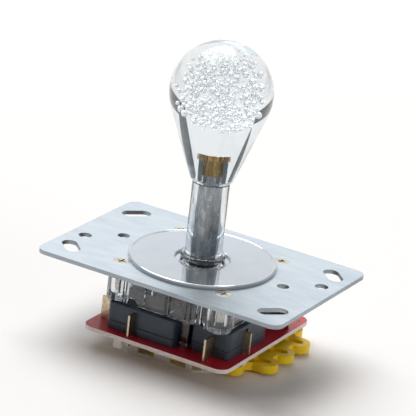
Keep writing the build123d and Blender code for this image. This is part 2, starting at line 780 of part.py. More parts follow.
selector.part.label = "selector"

# One file for each piece
pieces = [
    mounting_plate, plate_screws, dust_disc, shaft_sleeve, knob, knob_insert, lever_shaft, pivot_ball,
    spring_washer, return_spring, actuator, retaining_clip, housing, circuit_board, *switch_pieces,
    common_terminals, contact_terminals, switch_blades, connector_header, header_pins, solder_joints,
    gate_frame, selector,
]
os.makedirs("parts", exist_ok=True)
for piece in pieces:
    export_step(piece.part, "parts/" + piece.part.label + ".step")
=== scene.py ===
"""Looks of an arcade joystick lever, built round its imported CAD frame."""

import json
import logging
import random
from collections.abc import Callable, Iterator
from contextlib import contextmanager
from dataclasses import dataclass
from enum import Enum
from functools import lru_cache
from math import asin, atan2, cos, degrees, hypot, pi, radians, sin, tan

import bmesh
import bpy
from mathutils import Matrix, Vector


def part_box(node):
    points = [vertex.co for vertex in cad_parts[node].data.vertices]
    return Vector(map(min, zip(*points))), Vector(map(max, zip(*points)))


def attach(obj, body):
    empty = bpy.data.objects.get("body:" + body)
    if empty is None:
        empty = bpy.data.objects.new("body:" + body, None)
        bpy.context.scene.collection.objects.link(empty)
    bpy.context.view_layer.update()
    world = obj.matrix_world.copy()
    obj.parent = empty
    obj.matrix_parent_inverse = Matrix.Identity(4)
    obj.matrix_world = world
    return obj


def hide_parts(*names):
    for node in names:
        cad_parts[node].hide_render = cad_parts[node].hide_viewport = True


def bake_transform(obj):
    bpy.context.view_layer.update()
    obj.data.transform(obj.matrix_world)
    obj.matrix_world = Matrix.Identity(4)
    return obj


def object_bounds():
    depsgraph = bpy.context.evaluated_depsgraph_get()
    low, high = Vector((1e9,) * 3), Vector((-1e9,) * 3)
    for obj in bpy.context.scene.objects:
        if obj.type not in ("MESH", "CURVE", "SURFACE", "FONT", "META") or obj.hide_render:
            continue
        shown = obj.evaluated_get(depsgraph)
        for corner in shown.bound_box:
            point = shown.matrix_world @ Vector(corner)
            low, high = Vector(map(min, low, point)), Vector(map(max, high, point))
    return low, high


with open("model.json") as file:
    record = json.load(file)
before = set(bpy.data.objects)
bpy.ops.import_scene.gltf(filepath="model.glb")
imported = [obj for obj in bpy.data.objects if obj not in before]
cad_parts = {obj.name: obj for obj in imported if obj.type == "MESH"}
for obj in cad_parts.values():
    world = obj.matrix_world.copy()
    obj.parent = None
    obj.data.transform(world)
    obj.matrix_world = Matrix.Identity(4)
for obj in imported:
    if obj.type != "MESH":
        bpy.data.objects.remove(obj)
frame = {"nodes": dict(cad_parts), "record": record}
CAD_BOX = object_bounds()

LOG = logging.getLogger("joystick_lever")
MM = 0.001
MERGE = 0.001 * MM
ROUND_STEPS = 128
# Angles in degrees: flatter faces merge, and sharper edges show, are broken, and show once broken
FLAT_DEG = 0.5
SHARP_DEG = 32
BREAK_DEG = 40
BROKEN_SHARP_DEG = 50
NOISE_ROUGHNESS = 0.6
GRAIN_DETAIL = 2.0
# A Mix node's colour sockets by number, because its other kinds of socket share their names
MIX_A, MIX_B, MIX_COLOUR = 6, 7, 2
BODY_OF = {
    node: body
    for body, nodes in frame["record"]["behaviour"]["bodies"].items()
    for node in nodes
}

Profile = list[tuple[float, float]]


class Side(Enum):
    """The four sides that carry a switch, as the CAD nodes spell them."""

    FRONT = "front"
    RIGHT = "right"
    BACK = "back"
    LEFT = "left"


class Edge(Enum):
    """How far a piece's edges are broken, in millimetres."""

    KEPT = 0.0
    COINED = 0.06
    SHEARED = 0.12
    MOULDED = 0.2
    ROUNDED = 0.34
    SOFT = 0.58


class BoardFace(Enum):
    """The board's kinds of face, each with the number of its material slot."""

    TOP = 0
    EDGE = 1
    UNDERSIDE = 2


def linear(code: str) -> tuple[float, float, float, float]:
    """Turn an sRGB hex code into a linear colour.

    Args:
        code: The colour as "#rrggbb".

    Returns:
        Linear red, green, blue and an alpha of 1.
    """
    levels = [int(code[i : i + 2], 16) / 255 for i in (1, 3, 5)]
    red, green, blue = (
        v / 12.92 if v <= 0.04045 else ((v + 0.055) / 1.055) ** 2.4 for v in levels
    )
    return red, green, blue, 1.0


def add_node(
    tree: bpy.types.NodeTree,
    kind: str,
    settings: dict[str | int, object] | None = None,
    links: dict[str | int, bpy.types.NodeSocket] | None = None,
) -> bpy.types.Node:
    """Add one node with its settings and incoming links.

    Args:
        tree: The node tree that gets the node.
        kind: The node's Blender type.
        settings: Values by socket number, socket name or node property.
        links: Source sockets by the input's number or name.

    Returns:
        The new node.
    """
    node = tree.nodes.new(kind)
    for key, value in (settings or {}).items():
        if isinstance(key, int) or key in node.inputs:
            node.inputs[key].default_value = value
        else:
            setattr(node, key, value)
    for key, source in (links or {}).items():
        tree.links.new(source, node.inputs[key])
    return node


@dataclass(frozen=True)
class Finish:
    """A surface: one Principled shader with patterns in real millimetres."""

    name: str
    colour: str
    shade: str = ""
    metallic: float = 0.0
    roughness: tuple[float, float] = (0.4, 0.4)
    ior: float = 1.5
    transmission: float = 0.0
    coat: float = 0.0
    coat_roughness: float = 0.1
    subsurface: float = 0.0
    subsurface_mm: float = 1.0
    mottle_mm: float = 4.0
    mottle_detail: float = 5.0
    contrast: tuple[float, float] = (0.35, 0.65)
    stretch: tuple[float, float, float] = (1.0, 1.0, 1.0)
    grain_mm: float = 0.5
    grain_depth_mm: float = 0.0

    def dress(self, *pieces: bpy.types.Object) -> None:
        """Give each piece this finish alone.

        Args:
            pieces: The mesh objects to dress.
        """
        for piece in pieces:
            piece.data.materials.clear()
            piece.data.materials.append(make_material(self))


@lru_cache(maxsize=None)
def make_material(finish: Finish) -> bpy.types.Material:
    """Build a finish's node material once.

    Args:
        finish: The finish to build.

    Returns:
        The material, the same one each time for the same finish.
    """
    material = bpy.data.materials.new(finish.name)
    material.use_nodes = True
    tree = material.node_tree
    shader = tree.nodes["Principled BSDF"]
    plain = {
        "Base Color": linear(finish.colour),
        "Metallic": finish.metallic,
        "Roughness": finish.roughness[0],
        "IOR": finish.ior,
        "Transmission Weight": finish.transmission,
        "Coat Weight": finish.coat,
        "Coat Roughness": finish.coat_roughness,
        "Subsurface Weight": finish.subsurface,
        "Subsurface Scale": finish.subsurface_mm * MM,
    }
    for socket, value in plain.items():
        shader.inputs[socket].default_value = value
    place = add_node(tree, "ShaderNodeTexCoord")
    spread = add_node(
        tree, "ShaderNodeMapping", {"Scale": finish.stretch}, {"Vector": place.outputs["Object"]}
    )
    mottle = add_node(
        tree,
        "ShaderNodeTexNoise",
        {
            "Scale": 1 / (finish.mottle_mm * MM),
            "Detail": finish.mottle_detail,
            "Roughness": NOISE_ROUGHNESS,
        },
        {"Vector": spread.outputs["Vector"]},
    )
    level = add_node(
        tree,
        "ShaderNodeMapRange",
        {"From Min": finish.contrast[0], "From Max": finish.contrast[1]},
        {"Value": mottle.outputs["Fac"]},
    )
    if finish.shade:
        blend = add_node(
            tree,
            "ShaderNodeMix",
            {"data_type": "RGBA", MIX_A: linear(finish.shade), MIX_B: linear(finish.colour)},
            {0: level.outputs["Result"]},
        )
        tree.links.new(blend.outputs[MIX_COLOUR], shader.inputs["Base Color"])
    if finish.roughness[0] != finish.roughness[1]:
        polish = add_node(
            tree,
            "ShaderNodeMapRange",
            {"To Min": finish.roughness[1], "To Max": finish.roughness[0]},
            {"Value": level.outputs["Result"]},
        )
        tree.links.new(polish.outputs["Result"], shader.inputs["Roughness"])
    if finish.grain_depth_mm:
        grain = add_node(
            tree,
            "ShaderNodeTexNoise",
            {"Scale": 1 / (finish.grain_mm * MM), "Detail": GRAIN_DETAIL},
            {"Vector": spread.outputs["Vector"]},
        )
        bump = add_node(
            tree,
            "ShaderNodeBump",
            {"Strength": 1.0, "Distance": finish.grain_depth_mm * MM},
            {"Height": grain.outputs["Fac"]},
        )
        tree.links.new(bump.outputs["Normal"], shader.inputs["Normal"])
    return material


# Zinc-plated sheet steel: pale, cool and satin, with cloudy plating drawn out along the sheet
ZINC_SHEET = Finish(
    "zinc_plated_sheet", "#abb3b9", "#a0a8af", metallic=1.0, roughness=(0.46, 0.56), mottle_mm=7.0,
    stretch=(0.35, 1.0, 1.0), grain_mm=0.35, grain_depth_mm=0.0016,
)
# Zinc-plated drawn bar: darker and streaky, with blotches from the plating bath along its length
ZINC_BAR = Finish(
    "zinc_plated_bar", "#c6c9cc", "#7e8286", metallic=1.0, roughness=(0.2, 0.4), mottle_mm=1.2,
    mottle_detail=8.0, contrast=(0.28, 0.7), stretch=(1.0, 1.0, 0.3), grain_mm=0.4,
    grain_depth_mm=0.006,
)
# Nickel-plated steel: bright and faintly warm, with duller patches
NICKEL = Finish(
    "nickel_plate", "#d8d5cd", "#b9b4a8", metallic=1.0, roughness=(0.18, 0.32), mottle_mm=0.9,
    grain_mm=0.3, grain_depth_mm=0.002,
)
# Cast acrylic: water clear and polished, so that it shows its edges and bubbles alone
ACRYLIC = Finish("cast_acrylic", "#e9eef1", roughness=(0.0, 0.0), ior=1.49, transmission=1.0)
# Extruded polycarbonate: clear, with faint draw lines along the tube
TUBE_PLASTIC = Finish(
    "extruded_polycarbonate", "#e6eaed", roughness=(0.02, 0.05), ior=1.58, transmission=1.0,
    mottle_mm=3.0, stretch=(1.0, 1.0, 0.08), grain_mm=1.2, grain_depth_mm=0.002,
)
# Bright plated and polished sheet: a cool mirror under a pale haze, which shows the shaft on it
POLISHED_PLATE = Finish(
    "polished_plate", "#ced6de", "#c8d0d8", metallic=0.7, roughness=(0.03, 0.07), mottle_mm=12.0,
)
# Moulded polycarbonate body: clear with a smoky cast where the walls are thick
BODY_PLASTIC = Finish(
    "moulded_polycarbonate", "#e9ecef", roughness=(0.01, 0.04), ior=1.58, transmission=1.0,
    mottle_mm=3.0, grain_mm=2.5, grain_depth_mm=0.005,
)
# Moulded gate: cloudy with a warm cast, so that its thin walls catch the light under the board
GATE_PLASTIC = Finish(
    "milky_polycarbonate", "#fdfaf2", roughness=(0.08, 0.14), ior=1.58, transmission=0.25,
    mottle_mm=3.0, grain_mm=2.5, grain_depth_mm=0.005,
)
# Drawn brass: warm gold with fine streaks along the axis
BRASS = Finish(
    "drawn_brass", "#e0bc7a", "#9c7838", metallic=1.0, roughness=(0.2, 0.34), mottle_mm=1.0,
    contrast=(0.4, 0.6), stretch=(1.6, 1.6, 0.12), grain_mm=0.4, grain_depth_mm=0.004,
)
# Tinned brass: dull silver with the brass showing through as a tan cast
TINNED_BRASS = Finish(
    "tinned_brass", "#d6c7ad", "#b9a689", metallic=1.0, roughness=(0.26, 0.42), mottle_mm=1.4,
    grain_mm=0.3, grain_depth_mm=0.003,
)
# Solder: bright, rounded and slightly grainy tin
SOLDER = Finish(
    "tin_solder", "#d0d2d4", "#a9abad", metallic=1.0, roughness=(0.22, 0.4), mottle_mm=0.7,
    grain_mm=0.25, grain_depth_mm=0.006,
)
# Spring steel: bright drawn wire with dark die marks
SPRING_STEEL = Finish(
    "spring_steel", "#b5b6b8", "#85868a", metallic=1.0, roughness=(0.22, 0.36), mottle_mm=1.0,
    grain_mm=0.25, grain_depth_mm=0.003,
)
# Solder mask on laminate: deep red, satin under a thin gloss, with faint clouds
SOLDER_MASK = Finish(
    "red_solder_mask", "#d42338", "#c01a2d", roughness=(0.38, 0.48), coat=0.2,
    coat_roughness=0.12, mottle_mm=6.0, grain_mm=0.7, grain_depth_mm=0.006,
)
# Routed laminate edge: pale pink epoxy and glass, matt from the cutter
LAMINATE = Finish(
    "glass_laminate_edge", "#f2e6e2", "#dfcfcb", roughness=(0.6, 0.75), mottle_mm=1.2,
    stretch=(1.0, 1.0, 5.0), grain_mm=0.3, grain_depth_mm=0.01,
)
# Bare phenolic paper under the board: dull brown, which warms the shadow
PHENOLIC = Finish(
    "phenolic_paper", "#a67a48", "#966b3c", roughness=(0.5, 0.62), mottle_mm=5.0, grain_mm=0.5,
    grain_depth_mm=0.006,
)
# Moulded polyester switch cases: blue-black, with the fine sparked texture of the mould
SWITCH_PLASTIC = Finish(
    "moulded_polyester", "#2e3b49", "#293541", roughness=(0.36, 0.48), mottle_mm=5.0,
    grain_mm=0.28, grain_depth_mm=0.006,
)
# Moulded acetal selector: strong yellow, waxy, with light passing into its edges
YELLOW_PLASTIC = Finish(
    "yellow_acetal", "#ffde1c", "#fbd010", roughness=(0.34, 0.44), subsurface=0.2,
    subsurface_mm=1.2, mottle_mm=8.0, grain_mm=0.5, grain_depth_mm=0.006,
)
# Moulded white nylon: warm white and slightly waxy
WHITE_NYLON = Finish(
    "white_nylon", "#e8e6de", "#dedbd1", roughness=(0.38, 0.5), subsurface=0.15, subsurface_mm=1.2,
    mottle_mm=4.0, grain_mm=0.4, grain_depth_mm=0.005,
)
# Moulded black nylon: soft black with a dull sheen
BLACK_NYLON = Finish(
    "black_nylon", "#1d1d1f", "#161618", roughness=(0.4, 0.55), mottle_mm=3.0, grain_mm=0.4,
    grain_depth_mm=0.006,
)
# Moulded red plungers: plain engineering plastic, polished where they slide
RED_PLASTIC = Finish(
    "red_acetal", "#c22c22", "#ac241c", roughness=(0.3, 0.42), mottle_mm=2.0, grain_mm=0.3,
    grain_depth_mm=0.004,
)


def select_only(piece: bpy.types.Object) -> None:
    """Select one object alone and make it the active one.

    Args:
        piece: The object to select.
    """
    bpy.ops.object.select_all(action="DESELECT")
    piece.select_set(True)
    bpy.context.view_layer.objects.active = piece


@contextmanager
def editing(piece: bpy.types.Object) -> Iterator[None]:
    """Open a piece in edit mode with all of it selected, and close it again.

    Args:
        piece: The mesh object to edit.
    """
    select_only(piece)
    bpy.ops.object.mode_set(mode="EDIT")
    bpy.ops.mesh.select_all(action="SELECT")
    yield
    bpy.ops.object.mode_set(mode="OBJECT")


def pick_faces(piece: bpy.types.Object, test: Callable[[Vector, Vector], bool]) -> None:
    """Select in edit mode the faces that pass a test, and no others.

    Args:
        piece: The mesh object that is open in edit mode.
        test: Says yes or no to a face's centre and normal.
    """
    bpy.ops.mesh.select_mode(type="FACE")
    bpy.ops.mesh.select_all(action="DESELECT")
    shape = bmesh.from_edit_mesh(piece.data)
    for face in shape.faces:
        face.select_set(test(face.calc_center_median(), face.normal))
    bmesh.update_edit_mesh(piece.data)


def arc(
    centre: tuple[float, float], radius: float, start: float, finish: float, steps: int
) -> Profile:
    """Give the points of a round stretch of a profile.

    Args:
        centre: The arc's centre as (radius, height) in millimetres.
        radius: The arc's own radius in millimetres.
        start: The first point's direction in degrees.
        finish: The last point's direction in degrees.
        steps: How many chords the arc has.

    Returns:
        The points from start to finish, both included.
    """
    turns = [radians(start + (finish - start) * i / steps) for i in range(steps + 1)]
    return [(centre[0] + radius * cos(t), centre[1] + radius * sin(t)) for t in turns]


def lathe(name: str, profile: Profile, closed: bool, steps: int = ROUND_STEPS) -> bpy.types.Object:
    """Turn a profile about the lever's axis.

    Args:
        name: The new piece's name.
        profile: Points as (radius, height) in millimetres.
        closed: Whether the last point joins the first, as round a tube's wall.
        steps: How many faces go round.

    Returns:
        The finished piece, with its poles and seam closed.
    """
    bpy.ops.object.select_all(action="DESELECT")
    bpy.ops.mesh.primitive_plane_add(size=MM)
    piece = bpy.context.object
    piece.name = piece.data.name = name
    route = profile + profile[:1] if closed else profile
    with editing(piece):
        bpy.ops.mesh.merge(type="CENTER")
        bpy.ops.transform.translate(value=(route[0][0] * MM, 0, route[0][1] * MM))
        for here, there in zip(route, route[1:]):
            step = ((there[0] - here[0]) * MM, 0, (there[1] - here[1]) * MM)
            bpy.ops.mesh.extrude_vertices_move(TRANSFORM_OT_translate={"value": step})
        bpy.ops.mesh.select_all(action="SELECT")
        bpy.ops.mesh.spin(steps=steps, angle=2 * pi, center=(0, 0, 0), axis=(0, 0, 1))
        bpy.ops.mesh.select_all(action="SELECT")
        bpy.ops.mesh.remove_doubles(threshold=MERGE)
        bpy.ops.mesh.normals_make_consistent(inside=False)
    bpy.ops.object.shade_smooth_by_angle(angle=radians(SHARP_DEG))
    return piece


def cad_copy(node: str, name: str, edge: Edge, segments: int = 2) -> bpy.types.Object:
    """Copy a CAD node's mesh, merge it and break its edges.

    Args:
        node: The CAD node to copy.
        name: The new piece's name.
        edge: How far the edges are broken.
        segments: How many faces go across a broken edge.

    Returns:
        The new piece, in the node's place.
    """
    piece = bpy.data.objects.new(name, frame["nodes"][node].data.copy())
    piece.data.name = name
    bpy.context.scene.collection.objects.link(piece)
    with editing(piece):
        bpy.ops.mesh.customdata_custom_splitnormals_clear()
        bpy.ops.mesh.remove_doubles(threshold=MERGE)
        bpy.ops.mesh.dissolve_limited(angle_limit=radians(FLAT_DEG))
    bpy.ops.object.shade_smooth_by_angle(angle=radians(SHARP_DEG))
    if edge is not Edge.KEPT:
        broken = piece.modifiers.new("broken_edges", "BEVEL")
        broken.width = edge.value * MM
        broken.segments = segments
        broken.limit_method = "ANGLE"
        broken.angle_limit = radians(BREAK_DEG)
        bpy.ops.object.modifier_apply(modifier=broken.name)
        bpy.ops.object.shade_smooth_by_angle(angle=radians(BROKEN_SHARP_DEG))
    flats = piece.modifiers.new("flat_faces", "WEIGHTED_NORMAL")
    flats.keep_sharp = True
    bpy.ops.object.modifier_apply(modifier=flats.name)
    return piece


def settle(piece: bpy.types.Object, slot: str, *nodes: str) -> bpy.types.Object:
    """Make a piece stand for CAD nodes, on their body.

    Args:
        piece: The finished piece.
        slot: The record's material slot; not used.
        nodes: The CAD nodes that it stands for.

    Returns:
        The same piece.
    """
    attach(piece, BODY_OF[nodes[0]])
    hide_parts(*nodes)
    LOG.info("%s stands for %s", piece.name, ", ".join(nodes))
    return piece


@dataclass
class Knob:
    """Clear bat-top knob with a cloud of air bubbles and its brass insert."""

    base_radius_mm: float = 7.5
    edge_radius_mm: float = 2.2
    seat_gap_mm: float = 0.05
    pocket_radius_mm: float = 3.66
    collar_bond_mm: float = 0.07
    collar_height_mm: float = 2.3
    crown_steps: int = 40
    edge_steps: int = 12
    bubble_count: int = 540
    bubble_radius_mm: tuple[float, float] = (0.28, 0.85)
    bubble_bias: float = 1.6
    bubble_gap_mm: float = 0.06
    bubble_subdivisions: tuple[int, int] = (2, 3)
    coarse_below_mm: float = 0.5
    cloud_radius_mm: float = 11.4
    cloud_drop_mm: float = 0.4
    seed: int = 7

    def build(self) -> None:
        """Build the knob with its bubbles, and dress it and the insert."""
        body = lathe("clear_knob", self.outline(), closed=False)
        self.add_bubbles(body)
        ACRYLIC.dress(body)
        settle(body, "clear_acrylic", "knob")
        insert = cad_copy("knob_insert", "brass_insert", Edge.COINED)
        BRASS.dress(insert)
        settle(insert, "brass", "knob_insert")

    def outline(self) -> Profile:
        """Draw half the knob's section, from the crown down and up into the pocket.

        Returns:
            The profile in millimetres.
        """
        low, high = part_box("knob")
        top, radius, bottom = high.z / MM, high.x / MM, low.z / MM
        centre = top - radius
        lean = atan2(centre - bottom, -self.base_radius_mm)
        reach = hypot(centre - bottom, self.base_radius_mm)
        slope = lean - asin(radius / reach)
        touch = degrees(slope) - 90
        half = (pi - slope) / 2
        setback = self.edge_radius_mm / tan(half)
        seat = bottom + self.seat_gap_mm
        edge_centre = (self.base_radius_mm - setback, seat + self.edge_radius_mm)
        insert_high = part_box("knob_insert")[1]
        collar_radius = insert_high.x / MM - self.collar_bond_mm
        roof = insert_high.z / MM + self.seat_gap_mm
        collar_foot = roof - self.collar_height_mm
        profile = arc((0.0, centre), radius, 90, touch, self.crown_steps)
        profile[0] = (0.0, top)
        profile += arc(edge_centre, self.edge_radius_mm, touch, -90, self.edge_steps)
        profile += [
            (self.pocket_radius_mm, seat),
            (self.pocket_radius_mm, collar_foot),
            (collar_radius, collar_foot),
            (collar_radius, roof),
            (0.0, roof),
        ]
        return profile

    def add_bubbles(self, body: bpy.types.Object) -> None:
        """Join hollow bubbles into the knob's mesh.

        Args:
            body: The knob's mesh object.
        """
        coarse, fine = (self.bubble_pattern(count) for count in self.bubble_subdivisions)
        copies = []
        for place, radius in self.bubble_places():
            pattern = coarse if radius < self.coarse_below_mm else fine
            bubble = bpy.data.objects.new("bubble", pattern.data.copy())
            bpy.context.scene.collection.objects.link(bubble)
            bubble.data.transform(Matrix.Translation(place * MM) @ Matrix.Scale(radius * MM, 4))
            copies.append(bubble)
        for pattern in (coarse, fine):
            bpy.data.objects.remove(pattern)
        select_only(body)
        for bubble in copies:
            bubble.select_set(True)
        bpy.ops.object.join()

    def bubble_pattern(self, subdivisions: int) -> bpy.types.Object:
        """Model one hollow bubble of unit radius.

        Args:
            subdivisions: How finely the sphere is divided.

        Returns:
            The bubble, facing inwards.
        """
        bpy.ops.object.select_all(action="DESELECT")
        bpy.ops.mesh.primitive_ico_sphere_add(subdivisions=subdivisions, radius=1.0)
        pattern = bpy.context.object
        with editing(pattern):
            bpy.ops.mesh.flip_normals()
        bpy.ops.object.shade_smooth()
        return pattern

    def bubble_places(self) -> list[tuple[Vector, float]]:
        """Scatter the bubbles without letting two meet.

        Returns:
            Each bubble's centre and radius in millimetres.
        """
        draw = random.Random(self.seed)
        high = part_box("knob")[1]
        middle = Vector((0, 0, high.z / MM - high.x / MM - self.cloud_drop_mm))
        smallest, largest = self.bubble_radius_mm
        places: list[tuple[Vector, float]] = []
        while len(places) < self.bubble_count:
            offset = Vector([draw.uniform(-1, 1) for _ in "xyz"])
            if offset.length > 1:
                continue
            radius = smallest + draw.random() ** self.bubble_bias * (largest - smallest)
            spot = middle + offset * (self.cloud_radius_mm - radius)
            room = radius + self.bubble_gap_mm
            if all((spot - other).length > room + size for other, size in places):
                places.append((spot, radius))
        return places


@dataclass
class Stick:
    """The shaft, its clear sleeve, and the works that it carries under the plate."""

    seat_gap_mm: float = 0.05
    bead_bottom_mm: float = 1.4
    bead_height_mm: float = 1.7
    bead_edge_mm: float = 0.75
    bead_steps: int = 8
    tube_edge_mm: float = 0.25
    tube_edge_steps: int = 5
    outer_radius_mm: float = 6.75
    inner_radius_mm: float = 4.55
    spring_room_mm: float = 0.6

    def build(self) -> None:
        """Build the sleeve and the spring, and dress the shaft and the hidden works."""
        sleeve = lathe("clear_sleeve", self.outline(), closed=True)
        TUBE_PLASTIC.dress(sleeve)
        settle(sleeve, "clear_sleeve", "shaft_sleeve")
        shaft = cad_copy("lever_shaft", "plated_shaft", Edge.COINED)
        ZINC_BAR.dress(shaft)
        settle(shaft, "plated_steel", "lever_shaft")
        for node, finish in {
            "pivot_ball": WHITE_NYLON,
            "spring_washer": NICKEL,
            "actuator": BLACK_NYLON,
            "retaining_clip": SPRING_STEEL,
        }.items():
            finish.dress(frame["nodes"][node])
        self.coil_spring()

    def coil_spring(self) -> None:
        """Build the return spring, shortened from the top to leave a little room."""
        low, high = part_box("return_spring")
        room = self.spring_room_mm * MM
        spring = cad_copy("return_spring", "wire_spring", Edge.KEPT)
        with editing(spring):
            bpy.ops.transform.resize(
                value=(1, 1, 1 - room / (high.z - low.z)), center_override=(0, 0, low.z)
            )
        SPRING_STEEL.dress(spring)
        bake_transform(spring)
        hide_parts("return_spring")

    def outline(self) -> Profile:
        """Draw the tube wall's section with the bead at its foot.

        Returns:
            The closed profile in millimetres.
        """
        low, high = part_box("shaft_sleeve")
        bottom, top, bead = low.z / MM, high.z / MM - self.seat_gap_mm, high.x / MM
        outer, inner, edge = self.outer_radius_mm, self.inner_radius_mm, self.tube_edge_mm
        foot, head = self.bead_bottom_mm, self.bead_bottom_mm + self.bead_height_mm
        nose = bead - self.bead_edge_mm
        profile = [(inner, bottom), (outer, bottom), (outer, foot)]
        bend, steps = self.bead_edge_mm, self.bead_steps
        profile += arc((nose, foot + bend), bend, -90, 0, steps)
        profile += arc((nose, head - bend), bend, 0, 90, steps)
        profile += [(outer + edge, head), (outer, head + edge)]
        profile += arc((outer - edge, top - edge), edge, 0, 90, self.tube_edge_steps)
        profile += [(inner, top)]
        return profile


@dataclass
class Disc:
    """Polished pressed disc that keeps dust out, standing on the plate."""

    sheet_mm: float = 0.6
    rim_mm: float = 0.75
    rim_rise_mm: float = 0.3
    foot_edge_mm: float = 0.12
    bore_edge_mm: float = 0.65
    bore_foot_gap_mm: float = 0.06
    bore_radius_mm: float = 10.0
    foot_steps: int = 4
    rim_steps: int = 20
    bore_steps: int = 8
    round_steps: int = 192

    def build(self) -> None:
        """Build and dress the disc."""
        disc = lathe("pressed_disc", self.outline(), closed=True, steps=self.round_steps)
        POLISHED_PLATE.dress(disc)
        settle(disc, "polished_disc", "dust_disc")

    def outline(self) -> Profile:
        """Draw the sheet's section with its rolled rim and both edges turned down.

        Returns:
            The closed profile in millimetres.
        """
        low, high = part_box("dust_disc")
        bottom, top, outer = low.z / MM, high.z / MM, high.x / MM
        flat, rim = top - self.rim_rise_mm, self.rim_mm
        foot, lip = self.foot_edge_mm, self.bore_edge_mm
        bore, bore_foot = self.bore_radius_mm, bottom + self.bore_foot_gap_mm
        bore_wall, edge_wall = bore + self.sheet_mm, outer - self.sheet_mm
        rim_end = 180 - degrees(asin(1 - self.rim_rise_mm / rim))
        profile = [(bore, bore_foot), (bore_wall, bore_foot), (bore_wall, flat - self.sheet_mm)]
        profile += [(edge_wall, flat - self.sheet_mm), (edge_wall, bottom)]
        profile += arc((outer - foot, bottom + foot), foot, -90, 0, self.foot_steps)
        profile += arc((outer - rim, top - rim), rim, 0, rim_end, self.rim_steps)
        profile += arc((bore + lip, flat - lip), lip, 90, 180, self.bore_steps)
        return profile


@dataclass
class Plate:
    """Punched steel plate and the four screws that hold the housing to it."""

    def build(self) -> None:
        """Build and dress the plate and its screws."""
        plate = cad_copy("mounting_plate", "steel_plate", Edge.SHEARED, segments=3)
        ZINC_SHEET.dress(plate)
        settle(plate, "zinc_plate", "mounting_plate")
        screws = cad_copy("plate_screws", "cross_head_screws", Edge.COINED)
        NICKEL.dress(screws)
        settle(screws, "nickel_steel", "plate_screws")


@dataclass
class Housing:
    """Clear ribbed block under the plate."""

    plate_gap_mm: float = 0.05

    def build(self) -> None:
        """Build the block a hair below the plate, and dress it."""
        block = cad_copy("housing", "clear_housing", Edge.ROUNDED, segments=3)
        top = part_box("housing")[1].z
        with editing(block):
            pick_faces(block, lambda centre, normal: centre.z > top - MERGE)
            bpy.ops.transform.translate(value=(0, 0, -self.plate_gap_mm * MM))
        BODY_PLASTIC.dress(block)
        settle(block, "clear_housing", "housing")


@dataclass
class Switches:
    """Four microswitches with their plungers, blades, terminals and solder."""

    def build(self) -> None:
        """Build and dress the switches and what leads out of them."""
        for side in Side:
            for part in ("case", "cover"):
                node = f"switch_{part}_{side.value}"
                moulding = cad_copy(node, f"moulded_{part}_{side.value}", Edge.SHEARED)
                SWITCH_PLASTIC.dress(moulding)
                settle(moulding, "switch_case", node)
            RED_PLASTIC.dress(frame["nodes"][f"plunger_{side.value}"])
        SPRING_STEEL.dress(frame["nodes"]["switch_blades"])
        for kind in ("common", "contact"):
            node = f"{kind}_terminals"
            blades = cad_copy(node, f"{kind}_blades", Edge.COINED)
            TINNED_BRASS.dress(blades)
            settle(blades, "tinned_brass", node)
        SOLDER.dress(frame["nodes"]["solder_joints"])


@dataclass
class Board:
    """Red circuit board with its cable header."""

    side_slope: float = 0.5

    def build(self) -> None:
        """Build and dress the board, its header and the header's pins."""
        board = cad_copy("circuit_board", "red_board", Edge.COINED)
        SOLDER_MASK.dress(board)
        for finish in (LAMINATE, PHENOLIC):
            board.data.materials.append(make_material(finish))
        for face in board.data.polygons:
            face.material_index = self.face_kind(face.normal.z).value
        settle(board, "red_board", "circuit_board")
        header = cad_copy("connector_header", "cable_header", Edge.SHEARED)
        WHITE_NYLON.dress(header)
        settle(header, "white_nylon", "connector_header")
        TINNED_BRASS.dress(frame["nodes"]["header_pins"])

    def face_kind(self, slope: float) -> BoardFace:
        """Tell the board's top, edge and underside apart.

        Args:
            slope: The upward part of a face's normal.

        Returns:
            The kind of face that it is.
        """
        if slope > self.side_slope:
            return BoardFace.TOP
        return BoardFace.UNDERSIDE if slope < -self.side_slope else BoardFace.EDGE


@dataclass
class Gate:
    """Clear gate frame under the board, and the yellow selector in it."""

    def build(self) -> None:
        """Build and dress the frame and the selector."""
        tray = cad_copy("gate_frame", "clear_gate", Edge.MOULDED)
        GATE_PLASTIC.dress(tray)
        settle(tray, "clear_housing", "gate_frame")
        dial = cad_copy("selector", "yellow_selector", Edge.SOFT, segments=5)
        YELLOW_PLASTIC.dress(dial)
        settle(dial, "yellow_plastic", "selector")


